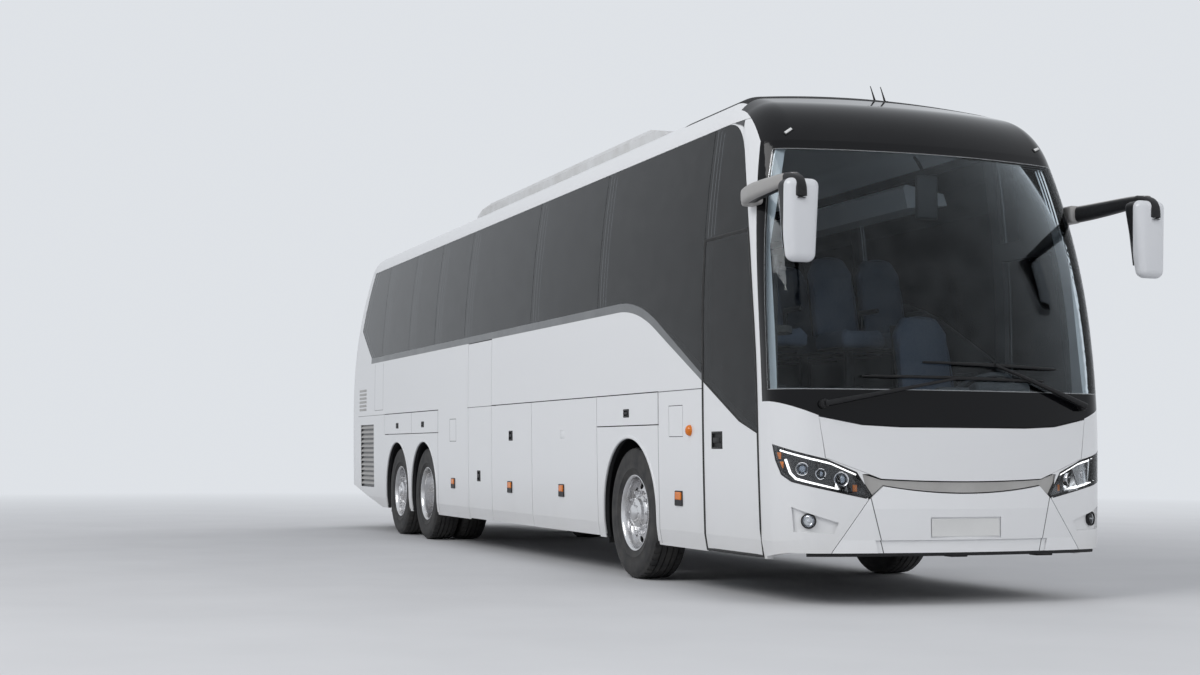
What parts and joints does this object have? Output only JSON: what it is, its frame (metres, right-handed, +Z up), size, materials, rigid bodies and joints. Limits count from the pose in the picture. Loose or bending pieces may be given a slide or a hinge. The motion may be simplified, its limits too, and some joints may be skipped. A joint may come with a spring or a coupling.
{
  "type": "three-axle touring coach",
  "caption": "Three-axle touring coach with steered front wheels, opening doors, luggage doors and lids, furnished saloon and rear engine.",
  "frame": {"origin": "on the ground under the middle of the bounding box", "axes": "+X towards the front, +Y to the vehicle's left side, +Z up"},
  "size_m": [13.7899, 2.9, 3.7418],
  "materials": {
    "body_white": "gloss white paint",
    "clear_glass": "clear laminated glass",
    "dark_glass": "dark tinted glass",
    "gloss_black": "gloss black",
    "belt_grey": "satin grey",
    "grille_grey": "satin grey",
    "lamp_lens": "clear lens",
    "tail_red": "red lens",
    "mirror_shell": "gloss white",
    "black_trim": "matt black",
    "frame_steel": "black chassis paint",
    "engine_iron": "cast",
    "floor_lining": "floor covering",
    "dash_plastic": "soft-touch plastic",
    "seat_fabric": "woven seat cloth",
    "tyre_rubber": "tyre rubber",
    "rim_alloy": "polished forged aluminium",
    "flap_rubber": "rubber",
    "louvre_grey": "satin grey"
  },
  "bodies": {
    "body": {"axles": "frame_steel", "belt_trim": "belt_grey", "bumper": "body_white", "chassis": "frame_steel", "dashboard": "dash_plastic", "engine": "engine_iron", "floors": "floor_lining", "front_mask": "body_white", "grille": "grille_grey", "headlamps": "lamp_lens", "louvres": "louvre_grey", "luggage_racks": "body_white", "mirrors": "mirror_shell", "mud_flaps": "flap_rubber", "rear_panel": "body_white", "rear_window": "dark_glass", "roof": "body_white", "roof_cap": "gloss_black", "roof_unit": "body_white", "seats": "seat_fabric", "side_glass": "dark_glass", "side_left": "body_white", "side_right": "body_white", "tail_lamps": "tail_red", "wheel_housings": "black_trim", "windscreen": "clear_glass", "wipers": "black_trim"},
    "knuckle_left": {"knuckle_left": "frame_steel"},
    "front_wheel_left": {"tyre_front_wheel_left": "tyre_rubber", "rim_front_wheel_left": "rim_alloy"},
    "drive_wheel_left": {"tyre_drive_wheel_left": "tyre_rubber", "rim_drive_wheel_left": "rim_alloy"},
    "tag_wheel_left": {"tyre_tag_wheel_left": "tyre_rubber", "rim_tag_wheel_left": "rim_alloy"},
    "knuckle_right": {"knuckle_right": "frame_steel"},
    "front_wheel_right": {"tyre_front_wheel_right": "tyre_rubber", "rim_front_wheel_right": "rim_alloy"},
    "drive_wheel_right": {"tyre_drive_wheel_right": "tyre_rubber", "rim_drive_wheel_right": "rim_alloy"},
    "tag_wheel_right": {"tyre_tag_wheel_right": "tyre_rubber", "rim_tag_wheel_right": "rim_alloy"},
    "door_arm": {"door_arm": "frame_steel"},
    "front_door": {"front_door": "body_white", "front_door_glass": "dark_glass"},
    "middle_door": {"middle_door": "body_white"},
    "luggage_door_right_front": {"luggage_door_right_front": "body_white"},
    "luggage_door_right_rear": {"luggage_door_right_rear": "body_white"},
    "luggage_door_left_front": {"luggage_door_left_front": "body_white"},
    "luggage_door_left_rear": {"luggage_door_left_rear": "body_white"},
    "flap_right_front": {"flap_right_front": "body_white"},
    "flap_right_rear": {"flap_right_rear": "body_white"},
    "flap_left_front": {"flap_left_front": "body_white"},
    "flap_left_rear": {"flap_left_rear": "body_white"},
    "hood": {"hood": "body_white"},
    "engine_lid": {"engine_lid": "body_white"}
  },
  "joints": [
    {"name": "steer_left", "type": "hinge", "parent": "body", "child": "knuckle_left", "pos_m": [3.64, 0.88, 0.5225], "axis": [0, 0, 1], "range_deg": [-45, 45]},
    {"name": "front_wheel_left_spin", "type": "hinge", "parent": "knuckle_left", "child": "front_wheel_left", "pos_m": [3.64, 1.085, 0.5225], "axis": [0, 1, 0], "continuous": true},
    {"name": "drive_wheel_left_spin", "type": "hinge", "parent": "body", "child": "drive_wheel_left", "pos_m": [-2.92, 1.085, 0.5225], "axis": [0, 1, 0], "continuous": true},
    {"name": "tag_wheel_left_spin", "type": "hinge", "parent": "body", "child": "tag_wheel_left", "pos_m": [-4.2, 1.085, 0.5225], "axis": [0, 1, 0], "continuous": true},
    {"name": "steer_right", "type": "hinge", "parent": "body", "child": "knuckle_right", "pos_m": [3.64, -0.88, 0.5225], "axis": [0, 0, 1], "range_deg": [-45, 45]},
    {"name": "front_wheel_right_spin", "type": "hinge", "parent": "knuckle_right", "child": "front_wheel_right", "pos_m": [3.64, -1.085, 0.5225], "axis": [0, 1, 0], "continuous": true},
    {"name": "drive_wheel_right_spin", "type": "hinge", "parent": "body", "child": "drive_wheel_right", "pos_m": [-2.92, -1.085, 0.5225], "axis": [0, 1, 0], "continuous": true},
    {"name": "tag_wheel_right_spin", "type": "hinge", "parent": "body", "child": "tag_wheel_right", "pos_m": [-4.2, -1.085, 0.5225], "axis": [0, 1, 0], "continuous": true},
    {"name": "door_arm_turn", "type": "hinge", "parent": "body", "child": "door_arm", "pos_m": [6, -1.12, 1.4], "axis": [0, 0, 1], "range_deg": [0, 144]},
    {"name": "front_door_turn", "type": "hinge", "parent": "door_arm", "child": "front_door", "pos_m": [5.55, -1.12, 1.4], "axis": [0, 0, 1], "range_deg": [-144, 0]},
    {"name": "middle_door_turn", "type": "hinge", "parent": "body", "child": "middle_door", "pos_m": [-0.178, -1.276, 1.2], "axis": [0, 0, 1], "range_deg": [0, 90]},
    {"name": "luggage_door_right_front_lift", "type": "hinge", "parent": "body", "child": "luggage_door_right_front", "pos_m": [2.026, -1.274, 1.464], "axis": [-1, 0, 0], "range_deg": [0, 90]},
    {"name": "luggage_door_right_rear_lift", "type": "hinge", "parent": "body", "child": "luggage_door_right_rear", "pos_m": [0.483, -1.274, 1.464], "axis": [-1, 0, 0], "range_deg": [0, 90]},
    {"name": "luggage_door_left_front_lift", "type": "hinge", "parent": "body", "child": "luggage_door_left_front", "pos_m": [2.026, 1.274, 1.464], "axis": [1, 0, 0], "range_deg": [0, 90]},
    {"name": "luggage_door_left_rear_lift", "type": "hinge", "parent": "body", "child": "luggage_door_left_rear", "pos_m": [0.056, 1.274, 1.464], "axis": [1, 0, 0], "range_deg": [0, 90]},
    {"name": "flap_right_front_lift", "type": "hinge", "parent": "body", "child": "flap_right_front", "pos_m": [3.603, -1.274, 1.464], "axis": [-1, 0, 0], "range_deg": [0, 90]},
    {"name": "flap_right_rear_lift", "type": "hinge", "parent": "body", "child": "flap_right_rear", "pos_m": [-3.547, -1.274, 1.464], "axis": [-1, 0, 0], "range_deg": [0, 90]},
    {"name": "flap_left_front_lift", "type": "hinge", "parent": "body", "child": "flap_left_front", "pos_m": [3.603, 1.274, 1.464], "axis": [1, 0, 0], "range_deg": [0, 90]},
    {"name": "flap_left_rear_lift", "type": "hinge", "parent": "body", "child": "flap_left_rear", "pos_m": [-3.547, 1.274, 1.464], "axis": [1, 0, 0], "range_deg": [0, 90]},
    {"name": "hood_lift", "type": "hinge", "parent": "body", "child": "hood", "pos_m": [6.43, 0, 1.6], "axis": [0, -1, 0], "range_deg": [0, 60]},
    {"name": "engine_lid_lift", "type": "hinge", "parent": "body", "child": "engine_lid", "pos_m": [-6.893, 0, 1.462], "axis": [0, 1, 0], "range_deg": [0, 85]}
  ],
  "couplings": [
    {"joint": "steer_right", "follows": "steer_left", "ratio": 1},
    {"joint": "front_door_turn", "follows": "door_arm_turn", "ratio": -1}
  ]
}
